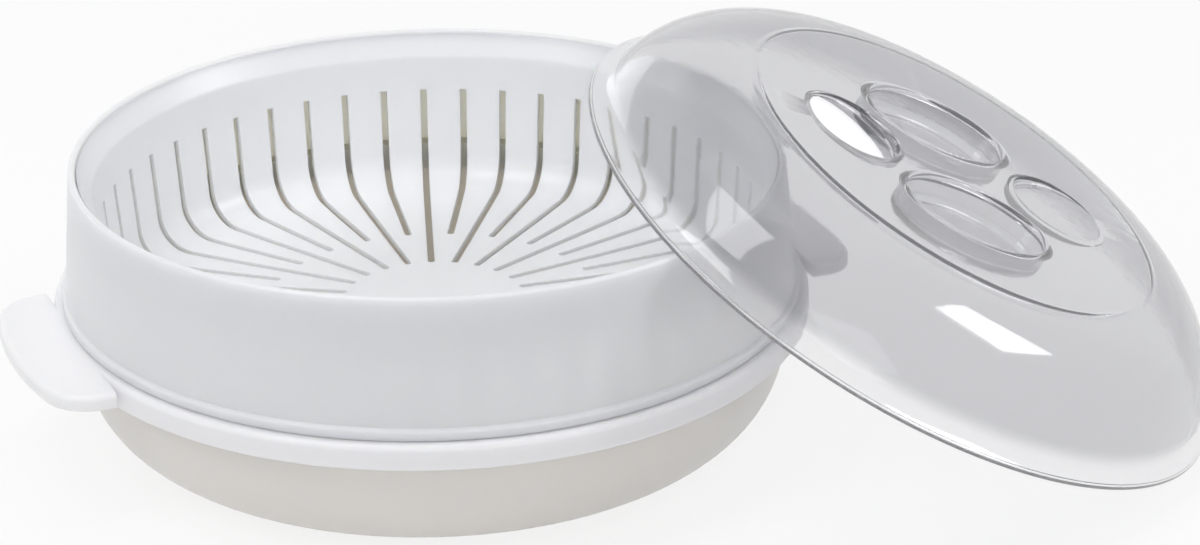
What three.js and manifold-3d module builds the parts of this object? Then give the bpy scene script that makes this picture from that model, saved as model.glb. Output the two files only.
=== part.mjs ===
// Microwave steamer: a water bowl with two tab handles, a collar with a slotted basket hanging in it, and a
// clear lid that leans against the collar's rim. Millimetres, +Z up. The origin is the middle of the bowl's
// flat foot, and +X runs through the tab handles.
import * as THREE from "three";
import { mergeVertices } from "three/addons/utils/BufferGeometryUtils.js";
import Module from "manifold-3d";

const wasm = await Module();
wasm.setup();

// Driving dimensions: water bowl
const footRadius = 71;
const bowlShoulderRadius = 99.5;
const bowlShoulderHeight = 30.6;
const bowlFootBulge = 21.3;
const bowlShoulderBulge = 17.2;
const bowlWall = 2;
const flangeReach = 5.7;
const flangeTop = 39.2;
const flangeThickness = 2.6;
const flangeLipDepth = 7;
const flangeLipThickness = 2;
const flangeRound = 1.6;

// Tab handles
const tabReach = 15.4;
const tabHalfAngle = 17;
const tabCornerRadius = 13;
const tabThickness = 4.2;
const tabSkin = 2;

// Collar
const collarRimInset = 0.5;
const collarHeight = 38;
const collarWall = 2;
const skirtFlare = 2.7;
const beadReach = 1.1;
const beadHeight = 3;
const collarWeb = 2;
const spigotDepth = 6;
const spigotWall = 1.8;

// Basket
const basketWall = 1.8;
const basketDepth = 45.9;
const basketRimDrop = 7;
const basketRimBelowCollar = 1;
const basketWallTaper = 2.5;
const basketCornerRadius = 10;
const basketFloorCrown = 1.3;
const slitCount = 48;
const slitWidth = 2;
const slitTopBelowRim = 17.2;
const longSlitStart = 25.3;
const shortSlitStart = 46.8;
const longSlitPhase = 10.4;

// Lid
const lidWall = 1.7;
const lidRimEdge = 1.6;
const lidFlareReach = 4.7;
const lidFlareHeight = 4.6;
const lidShoulderHeight = 29;
const plateauRadius = 65;
const plateauStep = 0.8;
const gripBarWidth = 18;
const fingerWellLength = 44;
const fingerWellWidth = 29;
const fingerWellDepth = 8;
const wellRound = 2.4;
const dimpleRadius = 14.4;
const dimpleDistance = 34;
const dimpleRamp = 6;

// The lid's lean: its tilt, the way it leans, where its rim touches the collar and which way its grip points
const lidTilt = 29.1;
const lidLeanAzimuth = -32.4;
const lidContactAzimuth = -71.9;
const gripTurn = 20;

// Clearances
const restGap = 0.3;
const spigotClearance = 0.6;
const basketClearance = 0.4;
const drumClearance = 0.5;
const floorGap = 0.3;
const leanGap = 1;

// Facets
const turnSegments = 56;
const basketSegments = 48;
const wellSegments = 24;
const curveSteps = 5;

const white = new THREE.MeshStandardMaterial({ color: 0xf1f0ee, roughness: 0.32, metalness: 0 });
const basketWhite = new THREE.MeshStandardMaterial({ color: 0xf4f4f4, roughness: 0.35, metalness: 0 });
const clear = new THREE.MeshStandardMaterial({
  color: 0xe9eaee,
  roughness: 0.08,
  metalness: 0,
  transparent: true,
  opacity: 0.35,
});

const rad = THREE.MathUtils.degToRad;
const at = (r, z) => new THREE.Vector2(r, z);

// Points along a cubic Bezier curve, both ends included
function curve(start, control1, control2, end, steps = curveSteps) {
  return new THREE.CubicBezierCurve(start, control1, control2, end).getPoints(steps);
}

// Points along a round corner, from one angle to another in degrees
function corner(centre, radius, from, to, steps = 3) {
  return Array.from({ length: steps + 1 }, (_, i) => {
    const angle = rad(from + ((to - from) * i) / steps);
    return at(centre.x + radius * Math.cos(angle), centre.y + radius * Math.sin(angle));
  });
}

// The same line moved sideways by a distance: to its left where the distance is positive
function offset(points, distance) {
  return points.map((point, i) => {
    const before = points[Math.max(i - 1, 0)];
    const after = points[Math.min(i + 1, points.length - 1)];
    const along = after.clone().sub(before).normalize();
    return at(point.x - along.y * distance, point.y + along.x * distance);
  });
}

// A closed solid as manifold-3d holds it
function solid(geometry) {
  const bare = geometry.clone();
  bare.deleteAttribute("normal");
  bare.deleteAttribute("uv");
  const merged = mergeVertices(bare, 1e-4);
  const vertProperties = new Float32Array(merged.attributes.position.array);
  const triVerts = new Uint32Array(merged.index.array);
  return new wasm.Manifold(new wasm.Mesh({ numProp: 3, vertProperties, triVerts }));
}

function mesh(name, body, material) {
  const data = body.getMesh();
  const geometry = new THREE.BufferGeometry();
  geometry.setAttribute("position", new THREE.BufferAttribute(data.vertProperties, 3));
  geometry.setIndex(new THREE.BufferAttribute(data.triVerts, 1));
  geometry.computeVertexNormals();
  const made = new THREE.Mesh(geometry, material);
  made.name = name;
  return made;
}

// A profile of (radius, height) points, run with the material on its left, turned about Z
function turned(profile, segments = turnSegments) {
  const closed = profile[0].x === 0 ? profile : [...profile, profile[0]];
  return solid(new THREE.LatheGeometry(closed, segments).rotateX(Math.PI / 2));
}

// A flat outline raised from z = low to z = high, with its edges rounded by `round`
function raised(outline, low, high, round = 0) {
  const options = { depth: high - low - 2 * round, bevelEnabled: round > 0, curveSegments: 8 };
  Object.assign(options, { bevelThickness: round, bevelSize: round, bevelOffset: -round, bevelSegments: 2 });
  return solid(new THREE.ExtrudeGeometry(outline, options).translate(0, 0, low + round));
}

// Radii that follow from the bowl's: its flange, and the collar, basket and lid that stack on its mouth
const flangeRadius = bowlShoulderRadius + flangeReach;
const bowlMouth = bowlShoulderRadius - bowlWall;
const collarRimRadius = bowlShoulderRadius - collarRimInset;
const collarMouth = collarRimRadius - collarWall;
const spigotOuter = bowlMouth - spigotClearance;
const spigotInner = spigotOuter - spigotWall;
const basketRimOuter = collarMouth - basketClearance;
const basketMouth = spigotInner - drumClearance - basketWall;
const lidRimRadius = collarRimRadius;

// Heights above the table
const collarBase = flangeTop + restGap;
const collarTop = collarBase + collarHeight;
const basketRimTop = collarTop - basketRimBelowCollar;
const basketCrease = collarTop - basketRimDrop;
const basketFloor = collarTop - basketDepth;

// Water bowl
function bowlBody() {
  const wallCurve = curve(
    at(footRadius, 0),
    at(footRadius + bowlFootBulge, 0),
    at(bowlShoulderRadius, bowlShoulderHeight - bowlShoulderBulge),
    at(bowlShoulderRadius, bowlShoulderHeight),
  );
  const flangeUnder = flangeTop - flangeThickness;
  const lipInside = flangeRadius - flangeLipThickness;
  const flangeEdge = corner(at(flangeRadius - flangeRound, flangeTop - flangeRound), flangeRound, 0, 90);
  const insideEdge = corner(at(bowlMouth + flangeRound, flangeTop - flangeRound), flangeRound, 90, 180);
  return turned([
    at(0, 0),
    ...wallCurve,
    at(bowlShoulderRadius, flangeUnder),
    at(lipInside, flangeUnder),
    at(lipInside, flangeTop - flangeLipDepth),
    at(flangeRadius, flangeTop - flangeLipDepth),
    ...flangeEdge,
    ...insideEdge,
    ...offset(wallCurve, bowlWall).reverse(),
    at(0, bowlWall),
  ]);
}

// Plan of a tab: a sector of the flange's circle with rounded outer corners, drawn in by `inset`
function tabOutline(inset) {
  const outer = flangeRadius + tabReach - inset;
  const inner = flangeRadius - flangeLipThickness / 2 + inset;
  const round = tabCornerRadius - inset;
  const cornerDistance = outer - round;
  const side = (flangeRadius + tabReach) * Math.sin(rad(tabHalfAngle)) - inset - round;
  const cornerX = Math.sqrt(cornerDistance ** 2 - side ** 2);
  const turn = Math.atan2(side, cornerX);
  const shape = new THREE.Shape();
  shape.moveTo(inner * Math.cos(turn), -side - round);
  shape.lineTo(cornerX, -side - round);
  shape.absarc(cornerX, -side, round, -Math.PI / 2, -turn);
  shape.absarc(0, 0, outer, -turn, turn);
  shape.absarc(cornerX, side, round, turn, Math.PI / 2);
  shape.lineTo(inner * Math.cos(turn), side + round);
  return shape;
}

function tabSolid() {
  const low = flangeTop - tabThickness;
  const whole = raised(tabOutline(0), low, flangeTop, flangeRound / 2);
  const pocket = raised(tabOutline(tabSkin), low - tabThickness, flangeTop - tabSkin);
  return whole.subtract(pocket);
}

function waterBowl() {
  const tab = tabSolid();
  const mouth = raised(new THREE.Shape().absarc(0, 0, bowlMouth, 0, 2 * Math.PI), flangeTop, 2 * flangeTop);
  const body = bowlBody().add(tab).add(tab.rotate(0, 0, 180));
  return mesh("water_bowl", body.subtract(mouth), white);
}

// Collar
function tierCollar() {
  const skirtFoot = collarRimRadius + skirtFlare;
  const beadRadius = skirtFoot + beadReach;
  const seat = basketRimUnderside();
  const seatInner = basketMouth + basketWall + basketClearance;
  const seatTop = seat.heightAt(collarMouth) - restGap;
  const seatLow = seat.heightAt(seatInner) - restGap;
  const rimRound = collarWall / 2;
  const rimEdge = corner(at(collarRimRadius - rimRound, collarTop - rimRound), rimRound, 0, 180, 4);
  return mesh(
    "tier_collar",
    turned([
      at(spigotInner, collarBase - spigotDepth),
      at(spigotOuter, collarBase - spigotDepth),
      at(spigotOuter, collarBase),
      at(beadRadius, collarBase),
      at(beadRadius, collarBase + beadHeight - beadReach),
      at(skirtFoot, collarBase + beadHeight),
      ...rimEdge,
      at(collarMouth, seatTop),
      at(seatInner, seatLow),
      at(seatInner, seatLow - collarWall),
      at(collarMouth, seatTop - collarWall),
      at(skirtFoot - collarWall, collarBase + collarWeb),
      at(spigotInner, collarBase + collarWeb),
    ]),
    white,
  );
}

// Basket: the inside line of its section, from the middle of the floor to the outer edge of its sloping rim
function basketInside() {
  const wallFoot = basketMouth - basketWallTaper;
  const cornerCentre = at(wallFoot - basketCornerRadius, basketFloor + basketCornerRadius);
  return [
    at(0, basketFloor + basketFloorCrown),
    at(longSlitStart, basketFloor + basketFloorCrown),
    ...corner(cornerCentre, basketCornerRadius, -90, 0, 4),
    at(basketMouth, basketCrease),
    at(basketRimOuter, basketRimTop),
  ];
}

// Underside of the sloping rim: its height at a radius
function basketRimUnderside() {
  const slope = (basketRimTop - basketCrease) / (basketRimOuter - basketMouth);
  const drop = basketWall * Math.sqrt(1 + slope * slope);
  return { heightAt: (radius) => basketCrease + slope * (radius - basketMouth) - drop };
}

function basketOutside() {
  const inside = basketInside();
  const under = basketRimUnderside();
  const wallOuter = basketMouth + basketWall;
  const belowRim = offset(inside.slice(0, -2), -basketWall);
  belowRim[0].x = 0;
  const rim = [wallOuter, basketRimOuter].map((radius) => at(radius, under.heightAt(radius)));
  return [...belowRim, ...rim];
}

function slit(index) {
  const start = index % 2 ? shortSlitStart : longSlitStart;
  const end = basketRimOuter;
  const low = basketFloor - 2 * basketWall;
  const high = collarTop - slitTopBelowRim;
  const turn = rad(longSlitPhase + (360 / slitCount) * index);
  const box = new THREE.BoxGeometry(end - start, slitWidth, high - low);
  return solid(box.translate((start + end) / 2, 0, (low + high) / 2).rotateZ(turn));
}

function steamBasket() {
  const shell = turned([...basketOutside(), ...basketInside().reverse()], basketSegments);
  const slits = Array.from({ length: slitCount }, (_, index) => slit(index));
  return mesh("steam_basket", shell.subtract(wasm.Manifold.union(slits)), basketWhite);
}

// Lid, in its own frame: the rim's edge at z = 0 and the flat top upwards
const plateauHeight = lidShoulderHeight + plateauStep;

function lidOutside() {
  const domeFoot = at(lidRimRadius - lidFlareReach, lidRimEdge + lidFlareHeight);
  const flare = curve(
    at(lidRimRadius, lidRimEdge),
    at(lidRimRadius - lidFlareReach / 3, lidRimEdge + lidFlareHeight / 8),
    at(domeFoot.x + lidFlareReach / 8, domeFoot.y - lidFlareHeight / 2),
    domeFoot,
    3,
  );
  const dome = curve(
    domeFoot,
    at(domeFoot.x - lidFlareReach * 0.7, domeFoot.y + lidShoulderHeight * 0.4),
    at(plateauRadius + (domeFoot.x - plateauRadius) / 2, lidShoulderHeight - plateauStep),
    at(plateauRadius, lidShoulderHeight),
  );
  return [...flare, ...dome.slice(1), at(plateauRadius - plateauStep, plateauHeight), at(0, plateauHeight)];
}

// An oval finger well beside the grip bar, grown by a margin
function fingerWell(margin) {
  const across = fingerWellWidth / 2;
  const centre = gripBarWidth / 2 + across;
  const oval = new THREE.EllipseCurve(0, centre, fingerWellLength / 2 + margin, across + margin);
  const outline = new THREE.Shape(oval.getPoints(wellSegments).slice(1));
  const low = plateauHeight - fingerWellDepth - margin;
  return raised(outline, low, plateauHeight + fingerWellDepth, wellRound);
}

// A round thumb dimple whose floor slopes down towards the grip bar
function thumbDimple(margin) {
  const radius = dimpleRadius + margin;
  const drop = dimpleRadius * Math.sin(rad(dimpleRamp));
  const disc = new THREE.CylinderGeometry(radius, radius, fingerWellDepth, turnSegments / 2);
  disc.rotateX(Math.PI / 2).translate(0, 0, fingerWellDepth / 2 - margin);
  disc.rotateY(rad(-dimpleRamp)).translate(dimpleDistance, 0, plateauHeight - drop);
  return solid(disc);
}

function gripHollows(margin) {
  const well = fingerWell(margin);
  const dimple = thumbDimple(margin);
  return wasm.Manifold.union([well, well.rotate(0, 0, 180), dimple, dimple.rotate(0, 0, 180)]);
}

function lid() {
  const outside = lidOutside();
  const inside = offset(outside, lidWall);
  inside[inside.length - 1].x = 0;
  const outer = turned([at(0, 0), at(lidRimRadius, 0), ...outside]);
  const inner = turned([at(0, -lidWall), at(inside[0].x, -lidWall), ...inside]);
  const hollow = inner.subtract(gripHollows(lidWall));
  return mesh("lid", outer.subtract(gripHollows(0)).subtract(hollow), clear);
}

// The lid leans with its rim's lowest point on the table and its front rim on the collar's rim
function leaningLid() {
  const tilt = rad(lidTilt);
  const lean = rad(lidLeanAzimuth);
  const contact = rad(lidContactAzimuth);
  const rise = (collarTop + leanGap - floorGap) / Math.sin(tilt);
  const sideways = Math.sqrt(rise * (2 * lidRimRadius - rise));
  const touchRadius = collarRimRadius - collarWall / 2;
  const outwards = new THREE.Vector3(Math.cos(lean), Math.sin(lean), 0);
  const across = new THREE.Vector3(-Math.sin(lean), Math.cos(lean), 0);
  const upSlope = outwards.clone().multiplyScalar(-Math.cos(tilt)).setZ(Math.sin(tilt));
  const centre = new THREE.Vector3(Math.cos(contact), Math.sin(contact), 0).multiplyScalar(touchRadius);
  centre.setZ(floorGap).addScaledVector(outwards, rise * Math.cos(tilt)).addScaledVector(across, sideways);
  centre.addScaledVector(upSlope, lidRimRadius);
  const grip = lid();
  grip.rotation.z = rad(gripTurn);
  const leaning = new THREE.Group().add(grip);
  leaning.rotation.set(0, tilt, lean, "ZYX");
  leaning.position.copy(centre);
  return leaning;
}

const steamer = new THREE.Group();
steamer.add(waterBowl(), tierCollar(), steamBasket(), leaningLid());

export default steamer;
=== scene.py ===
"""A microwave steamer on a pale floor: white bowl, collar and slotted basket, and a clear leaning lid."""
import math

import bmesh
import bpy
from mathutils import Euler, Matrix, Vector
from mathutils.geometry import interpolate_bezier


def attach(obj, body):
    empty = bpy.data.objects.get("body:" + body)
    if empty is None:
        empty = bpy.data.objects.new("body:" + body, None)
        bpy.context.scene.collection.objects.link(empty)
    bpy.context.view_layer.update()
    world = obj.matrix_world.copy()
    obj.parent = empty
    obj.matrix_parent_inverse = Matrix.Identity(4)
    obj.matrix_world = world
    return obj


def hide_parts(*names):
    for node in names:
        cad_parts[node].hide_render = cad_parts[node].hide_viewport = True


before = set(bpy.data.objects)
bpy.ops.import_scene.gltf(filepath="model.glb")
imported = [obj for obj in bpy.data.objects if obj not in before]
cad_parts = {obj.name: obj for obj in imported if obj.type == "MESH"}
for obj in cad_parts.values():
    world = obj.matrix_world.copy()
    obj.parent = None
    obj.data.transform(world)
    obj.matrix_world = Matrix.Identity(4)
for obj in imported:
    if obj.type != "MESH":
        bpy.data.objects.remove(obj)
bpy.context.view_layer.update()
scene = bpy.context.scene

# Lengths are in metres, angles in degrees
MM = 0.001
tolerance = 0.01 * MM

# Sizes of the water bowl
foot_radius = 71 * MM
shoulder_radius = 99.5 * MM
shoulder_height = 30.6 * MM
foot_bulge = 21.3 * MM
shoulder_bulge = 17.2 * MM
bowl_wall = 2 * MM
flange_reach = 5.7 * MM
flange_top = 39.2 * MM
flange_thickness = 2.6 * MM
flange_lip_depth = 7 * MM
flange_lip_thickness = 2 * MM
flange_round = 1.6 * MM
lip_foot_round = 0.9 * MM

# Sizes of the tab handles, whose tops lie just below the flange's
tab_reach = 15.4 * MM
tab_half_angle = 17
tab_corner_radius = 13 * MM
tab_thickness = 4.2 * MM
tab_skin = 2 * MM
tab_round = 1.7 * MM
tab_drop = 0.05 * MM

# Sizes of the collar, and the gaps at which pieces rest and lean on each other
rest_gap = 0.3 * MM
lean_gap = 1 * MM
rim_inset = 0.5 * MM
collar_height = 38 * MM
collar_wall = 2 * MM
skirt_flare = 2.7 * MM
skirt_lean = 4
bead_reach = 1.1 * MM
bead_height = 3 * MM
bead_turn = 75
collar_web = 2 * MM
spigot_depth = 6 * MM
spigot_wall = 1.8 * MM
spigot_clearance = 0.6 * MM

# Sizes of the basket
basket_clearance = 0.4 * MM
drum_clearance = 0.5 * MM
basket_wall = 1.8 * MM
basket_depth = 45.9 * MM
basket_rim_drop = 7 * MM
basket_rim_below_collar = 1 * MM
basket_wall_taper = 2.5 * MM
basket_corner_radius = 10 * MM
basket_crease_round = 1.4 * MM
basket_floor_crown = 1.3 * MM
basket_floor_ease = 0.7
slit_count = 48
slit_width = 2 * MM
slit_top_below_rim = 17.2 * MM
slit_end_round = 0.8 * MM
long_slit_start = 25.3 * MM
short_slit_start = 46.8 * MM
long_slit_phase = 10.4

# Sizes of the lid, in its own frame: the rim's edge at zero height
lid_wall = 1.7 * MM
lid_rim_edge = 1.6 * MM
lid_rim_round = 0.7 * MM
lid_rim_turn = 75
lid_flare_reach = 4.7 * MM
lid_flare_height = 4.6 * MM
lid_shoulder_height = 29 * MM
dome_lean = 0.7
dome_rise = 0.4
plateau_radius = 65 * MM
plateau_step = 0.8 * MM
grip_bar_width = 18 * MM
well_length = 44 * MM
well_width = 29 * MM
well_depth = 8 * MM
well_round = 2.4 * MM
well_edge_round = 1.2 * MM
dimple_radius = 14.4 * MM
dimple_distance = 34 * MM
dimple_ramp = 6
# Heights of the paler band painted along the lid's rim, a painted light
painted_rim_band_low = 3.5 * MM
painted_rim_band_high = 8.5 * MM

# The lid's lean: its tilt, the way it leans, where it touches the collar and how its grip is turned
lid_tilt = 29.1
lid_lean_azimuth = -32.4
lid_contact_azimuth = -71.9
grip_turn = 20

# Steps of turned, curved and rounded shapes
turn_steps = 160
curve_steps = 20
short_curve_steps = 10
crease_steps = 7
arc_steps = 24
oval_steps = 64
corner_steps = 12
rim_round_steps = 10
round_steps = 6
wall_steps = 6
tab_bevel_steps = 5
bevel_steps = 4
small_round_steps = 3
sharp_angle = 20

# Sizes that follow from these
flange_radius = shoulder_radius + flange_reach
bowl_mouth = shoulder_radius - bowl_wall
rim_radius = shoulder_radius - rim_inset
collar_mouth = rim_radius - collar_wall
spigot_outer = bowl_mouth - spigot_clearance
spigot_inner = spigot_outer - spigot_wall
basket_rim_outer = collar_mouth - basket_clearance
basket_mouth = spigot_inner - drum_clearance - basket_wall
lid_rim_radius = rim_radius
collar_base = flange_top + rest_gap
collar_top = collar_base + collar_height
basket_rim_top = collar_top - basket_rim_below_collar
basket_crease = collar_top - basket_rim_drop
basket_floor = collar_top - basket_depth
plateau_height = lid_shoulder_height + plateau_step


# Sections, bmeshes and objects

def at(radius, height):
    """A point of a turned section."""
    return Vector((radius, 0, height))


def curve(start, control1, control2, end, steps=curve_steps):
    """Points of a Bezier curve."""
    return list(interpolate_bezier(start, control1, control2, end, steps))


def corner(radius_at, height_at, radius, start, end, steps=round_steps):
    """Points round a corner's centre, from one angle to another in degrees."""
    angles = [math.radians(start + (end - start) * i / steps) for i in range(steps + 1)]
    return [at(radius_at + radius * math.cos(a), height_at + radius * math.sin(a)) for a in angles]


def offset(points, distance):
    """The same line moved to its left by a distance."""
    moved = []
    for i, point in enumerate(points):
        along = (points[min(i + 1, len(points) - 1)] - points[max(i - 1, 0)]).normalized()
        moved.append(Vector((point.x - along.z * distance, 0, point.z + along.x * distance)))
    return moved


def turned(section):
    """A bmesh of a section turned about Z. A section that starts off the axis is closed on itself."""
    bm = bmesh.new()
    verts = [bm.verts.new(point) for point in section]
    pairs = list(zip(verts, verts[1:]))
    if section[0].x > 0:
        pairs.append((verts[-1], verts[0]))
    edges = [bm.edges.new(pair) for pair in pairs]
    bmesh.ops.spin(
        bm,
        geom=verts + edges,
        cent=(0, 0, 0),
        axis=(0, 0, 1),
        angle=2 * math.pi,
        steps=turn_steps,
        use_merge=True,
    )
    bmesh.ops.remove_doubles(bm, verts=bm.verts, dist=tolerance)
    bmesh.ops.recalc_face_normals(bm, faces=bm.faces)
    return bm


def raised(outline, low, high):
    """A bmesh of a flat closed outline raised from one height to another."""
    bm = bmesh.new()
    face = bm.faces.new([bm.verts.new((x, y, low)) for x, y in outline])
    made = bmesh.ops.extrude_face_region(bm, geom=[face])
    tops = [v for v in made["geom"] if isinstance(v, bmesh.types.BMVert)]
    bmesh.ops.translate(bm, verts=tops, vec=(0, 0, high - low))
    bmesh.ops.recalc_face_normals(bm, faces=bm.faces)
    return bm


def lofted(outline_at, levels):
    """A closed bmesh bridged over outlines: one for each (height, margin) level, from the lowest up."""
    bm = bmesh.new()
    loops = []
    for height, margin in levels:
        verts = [bm.verts.new((x, y, height)) for x, y in outline_at(margin)]
        loops.append([bm.edges.new((verts[i - 1], verts[i])) for i in range(len(verts))])
    for low, high in zip(loops, loops[1:]):
        bmesh.ops.bridge_loops(bm, edges=low + high)
    bmesh.ops.holes_fill(bm, edges=loops[0] + loops[-1])
    bmesh.ops.recalc_face_normals(bm, faces=bm.faces)
    return bm


def round_edges(bm, edges, radius, segments=bevel_steps):
    """The edges rounded to a radius."""
    bmesh.ops.bevel(
        bm,
        geom=edges,
        offset=radius,
        affect="EDGES",
        segments=segments,
        profile=0.5,
        material=-1,
        clamp_overlap=True,
    )


def edges_at(bm, height):
    """The edges that lie flat at a height."""
    return [e for e in bm.edges if all(abs(v.co.z - height) < tolerance for v in e.verts)]


def placed(name, data):
    """A new object in the scene, at the origin."""
    obj = bpy.data.objects.new(name, data)
    scene.collection.objects.link(obj)
    return obj


def piece(name, bm):
    """A new object with the bmesh's shape in its mesh."""
    mesh = bpy.data.meshes.new(name)
    bm.to_mesh(mesh)
    bm.free()
    return placed(name, mesh)


def combined(obj, operation, tools):
    """The object joined with, or cut by, its tools, which are used up."""
    for tool in tools:
        step = obj.modifiers.new(operation, "BOOLEAN")
        step.operation = operation
        step.solver = "EXACT"
        step.object = tool
    bpy.context.view_layer.update()
    evaluated = obj.evaluated_get(bpy.context.evaluated_depsgraph_get())
    mesh = bpy.data.meshes.new_from_object(evaluated)
    obj.modifiers.clear()
    obj.data = mesh
    for tool in tools:
        bpy.data.objects.remove(tool)
    return obj


def merged(objs):
    """One object holding the meshes of several, which are used up."""
    bm = bmesh.new()
    for obj in objs:
        bm.from_mesh(obj.data)
        bpy.data.objects.remove(obj)
    return piece("cutters", bm)


def swung(obj, degrees):
    """The object with its mesh turned about Z."""
    obj.data.transform(Matrix.Rotation(math.radians(degrees), 4, "Z"))
    return obj


def smooth(obj):
    """Smooth shading that keeps flat faces flat, with creases at more than the sharp angle."""
    mesh = obj.data
    mesh.shade_smooth()
    mesh.set_sharp_from_angle(angle=math.radians(sharp_angle))
    flats = obj.modifiers.new("flat_faces", "WEIGHTED_NORMAL")
    flats.keep_sharp = True


# Shape of the water bowl

def bowl_section():
    """The bowl from the middle of its foot, up outside, over the flange and back down inside."""
    wall = curve(
        at(foot_radius, 0),
        at(foot_radius + foot_bulge, 0),
        at(shoulder_radius, shoulder_height - shoulder_bulge),
        at(shoulder_radius, shoulder_height),
    )
    flange_under = flange_top - flange_thickness
    lip_inside = flange_radius - flange_lip_thickness
    lip_foot = flange_top - flange_lip_depth
    return [
        at(0, 0),
        *wall,
        at(shoulder_radius, flange_under),
        at(lip_inside, flange_under),
        *corner(lip_inside + lip_foot_round, lip_foot + lip_foot_round, lip_foot_round, 180, 270),
        *corner(flange_radius - lip_foot_round, lip_foot + lip_foot_round, lip_foot_round, 270, 360),
        *corner(flange_radius - flange_round, flange_top - flange_round, flange_round, 0, 90),
        *corner(bowl_mouth + flange_round, flange_top - flange_round, flange_round, 90, 180),
        *reversed(offset(wall, bowl_wall)),
        at(0, bowl_wall),
    ]


def tab_outline(inset):
    """Plan of a tab: a sector of the flange's circle with rounded outer corners, drawn in by an inset."""
    outer = flange_radius + tab_reach - inset
    inner = flange_radius - flange_lip_thickness / 2 + inset
    radius = tab_corner_radius - inset
    side = (flange_radius + tab_reach) * math.sin(math.radians(tab_half_angle)) - inset - radius
    corner_x = math.sqrt((outer - radius) ** 2 - side ** 2)
    turn = math.degrees(math.atan2(side, corner_x))
    near = corner(corner_x, -side, radius, -90, -turn, corner_steps)
    edge = corner(0, 0, outer, -turn, turn, arc_steps)
    far = corner(corner_x, side, radius, turn, 90, corner_steps)
    start = inner * math.cos(math.radians(turn))
    rounded = [(p.x, p.z) for p in (*near, *edge[1:-1], *far)]
    return [(start, -side - radius), *rounded, (start, side + radius)]


def tab(name):
    """A tab handle: a rounded skin over an open pocket."""
    high = flange_top - tab_drop
    low = flange_top - tab_thickness
    bm = raised(tab_outline(0), low, high)
    outer = [e for e in edges_at(bm, high) if max(v.co.x for v in e.verts) > flange_radius]
    round_edges(bm, outer, tab_round, tab_bevel_steps)
    pocket = piece("pocket", raised(tab_outline(tab_skin), low - tab_thickness, high - tab_skin))
    return combined(piece(name, bm), "DIFFERENCE", [pocket])


def water_bowl():
    tabs = [tab("tab_right"), swung(tab("tab_left"), 180)]
    return combined(piece("bowl_shell", turned(bowl_section())), "UNION", tabs)


# Shape of the collar

def rim_underside(radius):
    """Height of the underside of the basket's sloping rim at a radius."""
    slope = (basket_rim_top - basket_crease) / (basket_rim_outer - basket_mouth)
    return basket_crease + slope * (radius - basket_mouth) - basket_wall * math.sqrt(1 + slope * slope)


def collar_section():
    """The collar from its spigot, out along the web, up the skirt, over the rim and down to its seat."""
    skirt_foot = rim_radius + skirt_flare
    bead_radius = skirt_foot + bead_reach
    bead_top = collar_base + bead_height
    seat_inner = basket_mouth + basket_wall + basket_clearance
    seat_top = rim_underside(collar_mouth) - rest_gap
    seat_low = rim_underside(seat_inner) - rest_gap
    half = collar_wall / 2
    foot_round = half / 2
    return [
        at(spigot_inner, collar_base - spigot_depth),
        at(spigot_outer, collar_base - spigot_depth),
        at(spigot_outer, collar_base),
        at(bead_radius - half, collar_base),
        *corner(bead_radius - foot_round, collar_base + foot_round, foot_round, -90, 0, small_round_steps),
        *corner(bead_radius - half, bead_top - half, half, 0, bead_turn),
        at(skirt_foot, bead_top + foot_round / 2),
        *corner(rim_radius - half, collar_top - half, half, skirt_lean, 180, rim_round_steps),
        at(collar_mouth, seat_top),
        at(seat_inner, seat_low),
        at(seat_inner, seat_low - collar_wall),
        at(collar_mouth, seat_top - collar_wall),
        at(skirt_foot - collar_wall, collar_base + collar_web),
        at(spigot_inner, collar_base + collar_web),
    ]


def tier_collar():
    return piece("collar_ring", turned(collar_section()))


# Shape of the basket

def basket_inside():
    """The basket's inner line, from the middle of its crowned floor to the edge of its sloping rim."""
    wall_foot = basket_mouth - basket_wall_taper
    centre_r = wall_foot - basket_corner_radius
    centre_z = basket_floor + basket_corner_radius
    crown = basket_floor + basket_floor_crown
    floor = curve(
        at(0, crown),
        at(long_slit_start, crown),
        at(centre_r * basket_floor_ease, basket_floor),
        at(centre_r, basket_floor),
    )
    round_corner = corner(centre_r, centre_z, basket_corner_radius, -90, 0, corner_steps)
    crease = at(basket_mouth, basket_crease)
    rim_edge = at(basket_rim_outer, basket_rim_top)
    below = crease + (round_corner[-1] - crease).normalized() * basket_crease_round
    above = crease + (rim_edge - crease).normalized() * basket_crease_round
    wall = [round_corner[-1].lerp(below, i / wall_steps) for i in range(1, wall_steps)]
    soft_crease = curve(below, crease, crease, above, crease_steps)
    return [*floor, *round_corner[1:], *wall, *soft_crease, rim_edge]


def basket_section():
    """The basket's wall, from below the floor's middle, out and up, and back along the inside."""
    inside = basket_inside()
    outside = offset([p for p in inside if p.z < basket_crease - basket_crease_round], -basket_wall)
    outside[0].x = 0
    wall_outer = basket_mouth + basket_wall
    rim = [at(radius, rim_underside(radius)) for radius in (wall_outer, basket_rim_outer)]
    return [*outside, *rim, *reversed(inside)]


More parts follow.
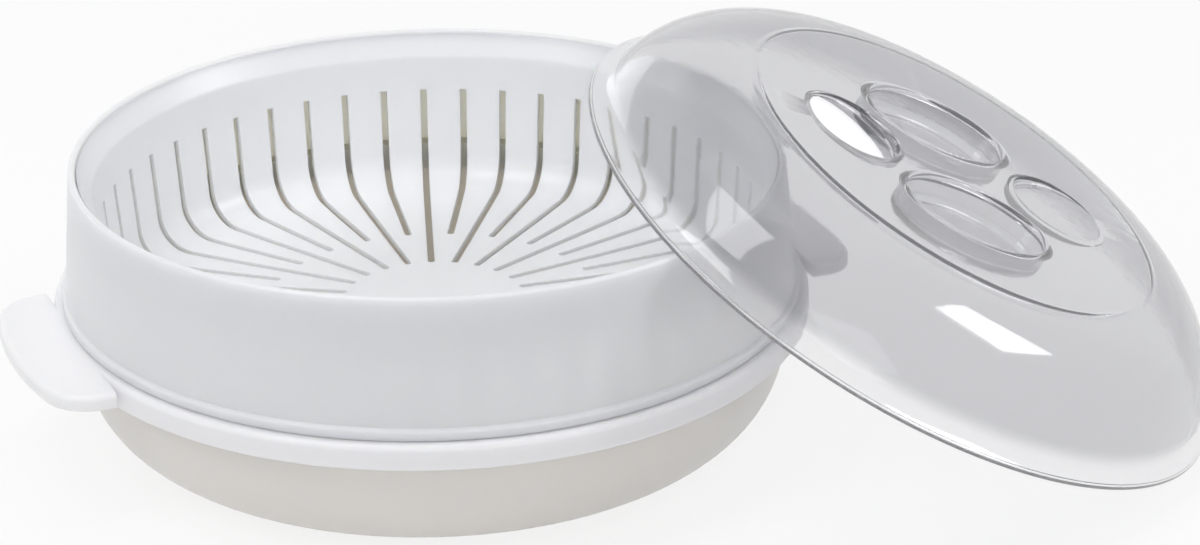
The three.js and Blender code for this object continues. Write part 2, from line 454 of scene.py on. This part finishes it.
def slit_cutter(index):
    """A thin upright plate with a round inner end and a round top. Long and short slits take turns."""
    start = short_slit_start if index % 2 else long_slit_start
    length = basket_rim_outer - start
    low = basket_floor - 2 * basket_wall
    high = collar_top - slit_top_below_rim
    bm = bmesh.new()
    bmesh.ops.create_cube(bm, size=1)
    bmesh.ops.scale(bm, verts=bm.verts, vec=(length, slit_width, high - low))
    bmesh.ops.translate(bm, verts=bm.verts, vec=(start + length / 2, 0, (low + high) / 2))
    inner_end = [e for e in bm.edges if all(abs(v.co.x - start) < tolerance for v in e.verts)]
    uprights = [e for e in inner_end if abs(e.verts[0].co.z - e.verts[1].co.z) > tolerance]
    round_edges(bm, uprights, slit_end_round, small_round_steps)
    tops = [e for e in edges_at(bm, high) if abs(e.verts[0].co.x - e.verts[1].co.x) > length / 2]
    round_edges(bm, tops, slit_end_round, small_round_steps)
    turn = math.radians(long_slit_phase + 360 / slit_count * index)
    bmesh.ops.rotate(bm, verts=bm.verts, cent=(0, 0, 0), matrix=Matrix.Rotation(turn, 3, "Z"))
    return piece(f"slit_{index}", bm)


def steam_basket():
    cutters = merged([slit_cutter(index) for index in range(slit_count)])
    return combined(piece("basket_shell", turned(basket_section())), "DIFFERENCE", [cutters])


# Shape of the lid

def lid_outside():
    """The lid's outer line: the flared rim, the dome, the small step and the flat top."""
    foot = at(lid_rim_radius - lid_flare_reach, lid_rim_edge + lid_flare_height)
    flare = curve(
        at(lid_rim_radius, lid_rim_edge),
        at(lid_rim_radius - lid_flare_reach / 3, lid_rim_edge + lid_flare_height / 8),
        at(foot.x + lid_flare_reach / 8, foot.z - lid_flare_height / 2),
        foot,
        short_curve_steps,
    )
    dome = curve(
        foot,
        at(foot.x - lid_flare_reach * dome_lean, foot.z + lid_shoulder_height * dome_rise),
        at(plateau_radius + (foot.x - plateau_radius) / 2, lid_shoulder_height - plateau_step),
        at(plateau_radius, lid_shoulder_height),
    )
    edge = curve(
        at(plateau_radius, lid_shoulder_height),
        at(plateau_radius - 2 * plateau_step, lid_shoulder_height + plateau_step / 4),
        at(plateau_radius - 2 * plateau_step, plateau_height),
        at(plateau_radius - 4 * plateau_step, plateau_height),
        short_curve_steps,
    )
    return [*flare, *dome[1:], *edge[1:], at(0, plateau_height)]


def well_outline(margin):
    """Plan of a finger well: an oval beside the grip bar, grown by a margin."""
    along = well_length / 2 + margin
    across = well_width / 2 + margin
    centre = (grip_bar_width + well_width) / 2
    turns = [2 * math.pi * i / oval_steps for i in range(oval_steps)]
    return [(along * math.cos(t), centre + across * math.sin(t)) for t in turns]


def finger_well(name, margin):
    """A well with a rounded floor edge, whose mouth rounds over into the flat top."""
    floor = plateau_height - well_depth - margin
    mouth = plateau_height - margin
    levels = []
    turns = [math.radians(90 * i / round_steps) for i in range(round_steps + 1)]
    for t in turns:
        levels.append((floor + well_round * (1 - math.cos(t)), margin - well_round * (1 - math.sin(t))))
    for t in turns:
        rise = well_edge_round * (1 - math.sin(t))
        levels.append((mouth - rise, margin + well_edge_round * (1 - math.cos(t))))
    levels.append((mouth + well_depth, margin + well_edge_round))
    return piece(name, lofted(well_outline, levels))


def thumb_dimple(name, margin):
    """A round dimple whose floor slopes down towards the grip bar."""
    bm = bmesh.new()
    radius = dimple_radius + margin
    bmesh.ops.create_cone(
        bm, cap_ends=True, segments=oval_steps, radius1=radius, radius2=radius, depth=well_depth
    )
    bmesh.ops.translate(bm, verts=bm.verts, vec=(0, 0, well_depth / 2 - margin))
    round_edges(bm, edges_at(bm, -margin), well_edge_round)
    ramp = math.radians(dimple_ramp)
    bmesh.ops.rotate(bm, verts=bm.verts, cent=(0, 0, 0), matrix=Matrix.Rotation(-ramp, 3, "Y"))
    drop = dimple_radius * math.sin(ramp)
    bmesh.ops.translate(bm, verts=bm.verts, vec=(dimple_distance, 0, plateau_height - drop))
    return piece(name, bm)


def grip_hollows(margin):
    """The wells and dimples of the grip, grown by a margin."""
    made = []
    for turn in (0, 180):
        made.append(swung(finger_well(f"well_{turn}", margin), turn))
        made.append(swung(thumb_dimple(f"dimple_{turn}", margin), turn))
    return made


def lid_place():
    """The leaning lid's place: its rim's lowest point on the table, its front rim on the collar's rim."""
    tilt, lean, contact = (math.radians(a) for a in (lid_tilt, lid_lean_azimuth, lid_contact_azimuth))
    rise = (collar_top + lean_gap - rest_gap) / math.sin(tilt)
    sideways = math.sqrt(rise * (2 * lid_rim_radius - rise))
    touch_radius = rim_radius - collar_wall / 2
    outwards = Vector((math.cos(lean), math.sin(lean), 0))
    across = Vector((-math.sin(lean), math.cos(lean), 0))
    up_slope = -outwards * math.cos(tilt) + Vector((0, 0, math.sin(tilt)))
    centre = Vector((touch_radius * math.cos(contact), touch_radius * math.sin(contact), rest_gap))
    centre += outwards * rise * math.cos(tilt) + across * sideways + up_slope * lid_rim_radius
    return Matrix.Translation(centre) @ Euler((0, tilt, lean), "XYZ").to_matrix().to_4x4()


def lid():
    """The lid: a solid form, less its core and its grip, set in its leaning place."""
    outside = lid_outside()
    inside = offset(outside, lid_wall)
    inside[-1].x = 0
    rim_centre = lid_rim_radius - lid_rim_round
    rim = [
        *corner(rim_centre, lid_rim_round, lid_rim_round, -90, 0),
        *corner(rim_centre, lid_rim_edge - lid_rim_round, lid_rim_round, 0, lid_rim_turn),
    ]
    shell = piece("lid_shell", turned([at(0, 0), *rim, *outside[1:]]))
    core = piece("core", turned([at(0, -lid_wall), at(inside[0].x, -lid_wall), *inside]))
    core = combined(core, "DIFFERENCE", grip_hollows(lid_wall))
    shell = combined(shell, "DIFFERENCE", [*grip_hollows(0), core])
    shell.data.transform(lid_place() @ Matrix.Rotation(math.radians(grip_turn), 4, "Z"))
    return shell


# Node trees

def new_group(name, inputs, outputs):
    """A shader node group with named sockets: returns it with its input and output nodes."""
    group = bpy.data.node_groups.new(name, "ShaderNodeTree")
    for socket_name, kind, default in inputs:
        socket = group.interface.new_socket(socket_name, in_out="INPUT", socket_type=kind)
        socket.default_value = default
    for socket_name, kind in outputs:
        group.interface.new_socket(socket_name, in_out="OUTPUT", socket_type=kind)
    return group, group.nodes.new("NodeGroupInput"), group.nodes.new("NodeGroupOutput")


def add_node(tree, kind, **settings):
    """A new node with its settings."""
    node = tree.nodes.new(kind)
    for key, value in settings.items():
        setattr(node, key, value)
    return node


def set_inputs(node, **values):
    """The node with its sockets set. An underscore stands for a space in a socket's name."""
    for key, value in values.items():
        node.inputs[key.replace("_", " ")].default_value = value
    return node


def mapped(tree, source, low, high):
    """A value from 0 to 1 stretched between two sockets or numbers."""
    node = add_node(tree, "ShaderNodeMapRange")
    tree.links.new(source, node.inputs["Value"])
    for socket, value in (("To Min", low), ("To Max", high)):
        if isinstance(value, (int, float)):
            node.inputs[socket].default_value = value
        else:
            tree.links.new(value, node.inputs[socket])
    return node.outputs["Result"]


def math_node(tree, operation, first, second):
    """The result of an operation on two sockets."""
    node = add_node(tree, "ShaderNodeMath", operation=operation)
    tree.links.new(first, node.inputs[0])
    tree.links.new(second, node.inputs[1])
    return node.outputs[0]


def object_place(tree):
    """Object coordinates."""
    return add_node(tree, "ShaderNodeTexCoord").outputs["Object"]


def moulded_skin():
    """Group: faint clouding of the colour, uneven gloss and the fine ripple of a moulded surface."""
    group, given, out = new_group(
        "moulded_skin",
        [
            ("Colour", "NodeSocketColor", (0.8, 0.8, 0.8, 1)),
            ("Cloud Colour", "NodeSocketColor", (0.75, 0.75, 0.75, 1)),
            ("Cloud Amount", "NodeSocketFloat", 0.5),
            ("Least Roughness", "NodeSocketFloat", 0.25),
            ("Most Roughness", "NodeSocketFloat", 0.4),
            ("Ripple Scale", "NodeSocketFloat", 900.0),
        ],
        [("Colour", "NodeSocketColor"), ("Roughness", "NodeSocketFloat"), ("Height", "NodeSocketFloat")],
    )
    links = group.links
    place = object_place(group)
    cloud = set_inputs(add_node(group, "ShaderNodeTexNoise"), Scale=26.0, Detail=4.0, Roughness=0.55)
    wear = set_inputs(add_node(group, "ShaderNodeTexNoise"), Scale=150.0, Detail=6.0, Roughness=0.65)
    ripple = set_inputs(add_node(group, "ShaderNodeTexNoise"), Detail=2.0, Roughness=0.4)
    for texture in (cloud, wear, ripple):
        links.new(place, texture.inputs["Vector"])
    links.new(given.outputs["Ripple Scale"], ripple.inputs["Scale"])
    amount = math_node(group, "MULTIPLY", cloud.outputs["Fac"], given.outputs["Cloud Amount"])
    mix = add_node(group, "ShaderNodeMix", data_type="RGBA")
    links.new(amount, mix.inputs["Factor"])
    links.new(given.outputs["Colour"], mix.inputs["A"])
    links.new(given.outputs["Cloud Colour"], mix.inputs["B"])
    least, most = given.outputs["Least Roughness"], given.outputs["Most Roughness"]
    links.new(mix.outputs["Result"], out.inputs["Colour"])
    links.new(mapped(group, wear.outputs["Fac"], least, most), out.inputs["Roughness"])
    links.new(ripple.outputs["Fac"], out.inputs["Height"])
    return group


def inner_side():
    """Group: 1 on the inner side of a round wall whose middle runs between two radii, below its top."""
    group, given, out = new_group(
        "inner_side",
        [
            ("Low Radius", "NodeSocketFloat", 0.1),
            ("High Radius", "NodeSocketFloat", 0.1),
            ("Low Height", "NodeSocketFloat", 0.0),
            ("High Height", "NodeSocketFloat", 0.1),
        ],
        [("Mask", "NodeSocketFloat")],
    )
    links = group.links
    place = add_node(group, "ShaderNodeSeparateXYZ")
    links.new(object_place(group), place.inputs[0])
    flat = add_node(group, "ShaderNodeCombineXYZ")
    for axis in ("X", "Y"):
        links.new(place.outputs[axis], flat.inputs[axis])
    radius = add_node(group, "ShaderNodeVectorMath", operation="LENGTH")
    links.new(flat.outputs[0], radius.inputs[0])
    wall = add_node(group, "ShaderNodeMapRange")
    links.new(place.outputs["Z"], wall.inputs["Value"])
    for side, limit in (("Min", "Low"), ("Max", "High")):
        links.new(given.outputs[f"{limit} Height"], wall.inputs[f"From {side}"])
        links.new(given.outputs[f"{limit} Radius"], wall.inputs[f"To {side}"])
    within = math_node(group, "LESS_THAN", radius.outputs["Value"], wall.outputs["Result"])
    below = math_node(group, "LESS_THAN", place.outputs["Z"], given.outputs["High Height"])
    links.new(math_node(group, "MULTIPLY", within, below), out.inputs["Mask"])
    return group


# Finishes

plastic_ior = 1.49
wall_glow = 0.85
wall_glow_radius = (1.0, 0.95, 0.85)
lid_clearness = 0.9


def new_material(name):
    """A new material: returns it with its node tree and its shader."""
    material = bpy.data.materials.new(name)
    material.use_nodes = True
    tree = material.node_tree
    return material, tree, tree.nodes["Principled BSDF"]


def moulded_plastic(name, skin, ripple_strength, ripple_height, **skin_values):
    """A plastic with colour, gloss and ripple from the skin group: returns it with its shader."""
    material, tree, shader = new_material(name)
    surface = set_inputs(add_node(tree, "ShaderNodeGroup", node_tree=skin), **skin_values)
    bump = set_inputs(add_node(tree, "ShaderNodeBump"), Strength=ripple_strength, Distance=ripple_height)
    tree.links.new(surface.outputs["Colour"], shader.inputs["Base Color"])
    tree.links.new(surface.outputs["Roughness"], shader.inputs["Roughness"])
    tree.links.new(surface.outputs["Height"], bump.inputs["Height"])
    tree.links.new(bump.outputs["Normal"], shader.inputs["Normal"])
    shader.inputs["IOR"].default_value = plastic_ior
    return material, shader


def white_plastic(name, skin, colour, cloud, roughness, depth):
    """Glossy white plastic, with light passing into its thin walls to a depth."""
    least, most = roughness
    material, shader = moulded_plastic(
        name,
        skin,
        ripple_strength=0.06,
        ripple_height=0.2 * MM,
        Colour=(*colour, 1),
        Cloud_Colour=(*cloud, 1),
        Least_Roughness=least,
        Most_Roughness=most,
    )
    shader.inputs["Subsurface Weight"].default_value = wall_glow
    shader.inputs["Subsurface Radius"].default_value = wall_glow_radius
    shader.inputs["Subsurface Scale"].default_value = depth
    return material


def clear_plastic(name, skin):
    """Clear plastic with a faint grey haze and a polished skin."""
    material, shader = moulded_plastic(
        name,
        skin,
        ripple_strength=0.04,
        ripple_height=0.3 * MM,
        Colour=(0.67, 0.67, 0.69, 1),
        Cloud_Colour=(0.63, 0.63, 0.655, 1),
        Least_Roughness=0.02,
        Most_Roughness=0.08,
        Ripple_Scale=300.0,
    )
    shader.inputs["Transmission Weight"].default_value = lid_clearness
    return material


def tint_where(material, mask, tint):
    """The material's colour changed to a tint where a mask is 1."""
    tree = material.node_tree
    colour = tree.nodes["Principled BSDF"].inputs["Base Color"]
    plain = colour.links[0].from_socket
    mix = add_node(tree, "ShaderNodeMix", data_type="RGBA")
    tree.links.new(mask, mix.inputs["Factor"])
    tree.links.new(plain, mix.inputs["A"])
    mix.inputs["B"].default_value = (*tint, 1)
    tree.links.new(mix.outputs["Result"], colour)


def paint_warm_shade_inside(material, group, tint, **limits):
    """A creamy tint painted inside a round wall with these limits, standing in for warm shade and
    reflected light there.
    """
    mask = set_inputs(add_node(material.node_tree, "ShaderNodeGroup", node_tree=group), **limits)
    tint_where(material, mask.outputs["Mask"], tint)


def paint_rim_light(material, tint):
    """A paler band painted along the lid's flared rim as painted light, measured in the lid's own frame.
    """
    tree = material.node_tree
    place = lid_place()
    local = add_node(tree, "ShaderNodeMapping", vector_type="TEXTURE")
    set_inputs(local, Location=place.translation, Rotation=place.to_euler())
    tree.links.new(object_place(tree), local.inputs["Vector"])
    parts = add_node(tree, "ShaderNodeSeparateXYZ")
    tree.links.new(local.outputs["Vector"], parts.inputs[0])
    band = add_node(tree, "ShaderNodeMapRange", interpolation_type="SMOOTHSTEP")
    tree.links.new(parts.outputs["Z"], band.inputs["Value"])
    set_inputs(band, From_Min=painted_rim_band_low, From_Max=painted_rim_band_high, To_Min=1.0, To_Max=0.0)
    tint_where(material, band.outputs["Result"], tint)


skin = moulded_skin()
bowl_white = white_plastic(
    "bowl_white",
    skin,
    colour=(0.83, 0.83, 0.85),
    cloud=(0.8, 0.8, 0.81),
    roughness=(0.26, 0.4),
    depth=6 * MM,
)
collar_white = white_plastic(
    "collar_white",
    skin,
    colour=(0.89, 0.89, 0.915),
    cloud=(0.87, 0.87, 0.89),
    roughness=(0.24, 0.38),
    depth=10 * MM,
)
basket_white = white_plastic(
    "basket_white",
    skin,
    colour=(0.925, 0.94, 0.97),
    cloud=(0.905, 0.92, 0.95),
    roughness=(0.24, 0.38),
    depth=3 * MM,
)
lid_clear = clear_plastic("lid_clear", skin)
# Painted light: a paler band along the lid's flared rim
paint_rim_light(lid_clear, tint=(0.93, 0.93, 0.94))
inner_mask = inner_side()
# Painted shade: a cream tint on the collar's inner wall, for the warm shade in the hollow behind the slits
paint_warm_shade_inside(
    collar_white,
    inner_mask,
    tint=(0.97, 0.935, 0.78),
    Low_Radius=rim_radius + skirt_flare - collar_wall / 2,
    High_Radius=rim_radius - collar_wall / 2,
    Low_Height=collar_base,
    High_Height=collar_top - basket_rim_drop,
)
# Painted warm reflection and shade: the bowl is tinted warmer and darker all through below its lip, so the
# limit lies outside its wall
paint_warm_shade_inside(
    bowl_white,
    inner_mask,
    tint=(0.81, 0.775, 0.72),
    Low_Radius=shoulder_radius + bowl_wall / 2,
    High_Radius=shoulder_radius + bowl_wall / 2,
    Low_Height=0,
    High_Height=flange_top - flange_lip_depth,
)


# The four pieces

def dress(obj, node, body, material):
    """A finished piece in place of its plain solid."""
    smooth(obj)
    obj.data.materials.clear()
    obj.data.materials.append(material)
    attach(obj, body)
    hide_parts(node)


dress(water_bowl(), "water_bowl", "bowl", bowl_white)
dress(tier_collar(), "tier_collar", "collar", collar_white)
dress(steam_basket(), "steam_basket", "basket", basket_white)
dress(lid(), "lid", "lid", lid_clear)


# Camera, floor and light

photo_width = 1200
photo_focal = 3384.5
sensor_width = 36
camera_distance = 866.9 * MM
camera_height = 426.4 * MM
camera_azimuth = -20.5
camera_yaw = 3.09
camera_pitch = 24.04
camera_roll = 0.3
floor_half_size = 6
floor_white_share = 0.82
sky_light = 0.4


def add_camera():
    data = bpy.data.cameras.new("camera")
    data.sensor_width = sensor_width
    data.lens = sensor_width * photo_focal / photo_width
    camera = placed("camera", data)
    azimuth = math.radians(camera_azimuth)
    away = Vector((math.sin(azimuth), -math.cos(azimuth), 0)) * camera_distance
    spot = away + Vector((0, 0, camera_height))
    heading = Matrix.Rotation(math.radians(camera_azimuth - camera_yaw), 4, "Z")
    pitch = Matrix.Rotation(math.radians(90 - camera_pitch), 4, "X")
    roll = Matrix.Rotation(math.radians(-camera_roll), 4, "Z")
    camera.matrix_world = Matrix.Translation(spot) @ heading @ pitch @ roll
    scene.camera = camera


def seen_directly(tree):
    """1 for rays from the camera, off a gloss or through a clear wall, and 0 for the others."""
    path = add_node(tree, "ShaderNodeLightPath")
    seen = path.outputs["Is Camera Ray"]
    for ray in ("Is Glossy Ray", "Is Transmission Ray"):
        seen = math_node(tree, "MAXIMUM", seen, path.outputs[ray])
    return seen


def floor_material():
    """A pale floor that looks white by itself, in mirrors and through clear walls, and keeps shadows."""
    material, tree, shader = new_material("floor_white")
    shader.inputs["Base Color"].default_value = (0.86, 0.86, 0.87, 1)
    shader.inputs["Roughness"].default_value = 0.6
    glow = set_inputs(add_node(tree, "ShaderNodeEmission"), Color=(1, 1, 1, 1), Strength=1.0)
    mix = add_node(tree, "ShaderNodeMixShader")
    tree.links.new(mapped(tree, seen_directly(tree), 0.0, floor_white_share), mix.inputs["Fac"])
    tree.links.new(shader.outputs[0], mix.inputs[1])
    tree.links.new(glow.outputs[0], mix.inputs[2])
    tree.links.new(mix.outputs[0], tree.nodes["Material Output"].inputs["Surface"])
    return material


def add_floor():
    bm = bmesh.new()
    bmesh.ops.create_grid(bm, x_segments=1, y_segments=1, size=floor_half_size)
    floor = piece("floor", bm)
    floor.data.materials.append(floor_material())


def add_world():
    """A sky that lights softly, and looks white by itself, in mirrors and through clear walls."""
    world = bpy.data.worlds.new("studio")
    scene.world = world
    world.use_nodes = True
    tree = world.node_tree
    background = tree.nodes["Background"]
    background.inputs["Color"].default_value = (1, 1, 1, 1)
    tree.links.new(mapped(tree, seen_directly(tree), sky_light, 1.0), background.inputs["Strength"])


def add_area_light(name, spot, target, size, power, spin=0, mirrored=True):
    """A rectangular lamp that faces a target. One that isn't mirrored leaves no highlight."""
    data = bpy.data.lights.new(name, "AREA")
    data.shape = "RECTANGLE"
    data.size, data.size_y = size
    data.energy = power
    light = placed(name, data)
    light.location = spot
    aim = (Vector(target) - Vector(spot)).to_track_quat("-Z", "Y").to_matrix()
    light.rotation_euler = (aim @ Matrix.Rotation(math.radians(spin), 3, "Z")).to_euler()
    light.visible_glossy = mirrored


add_camera()
add_floor()
add_world()
add_area_light(
    "overhead_soft_box",
    spot=(-0.85, -0.2, 1.25),
    target=(-0.85, -0.2, 0),
    size=(1.2, 0.5),
    power=7.5,
    spin=8,
)
add_area_light(
    "back_soft_box",
    spot=(-0.3, 1.5, 0.42),
    target=(0, 0, 0.05),
    size=(1.2, 0.6),
    power=7,
    mirrored=False,
)
add_area_light(
    "front_soft_box",
    spot=(-0.7, -1.7, 0.8),
    target=(0, 0, 0.05),
    size=(0.9, 0.9),
    power=7,
    mirrored=False,
)
add_area_light(
    "top_soft_box",
    spot=(-0.05, 0.1, 1.3),
    target=(-0.05, 0.1, 0),
    size=(0.6, 0.6),
    power=2,
    mirrored=False,
)
add_area_light(
    "right_window",
    spot=(0.99, -0.41, 0.81),
    target=(0.1, -0.135, 0.06),
    size=(0.42, 0.38),
    power=3.4,
    spin=-24,
)
add_area_light(
    "far_strip",
    spot=(1.58, 1.24, 0.36),
    target=(0.09, -0.06, 0.09),
    size=(0.4, 0.12),
    power=0.24,
)

scene.view_settings.view_transform = "Standard"
scene.cycles.diffuse_bounces = 12
scene.cycles.max_bounces = 20
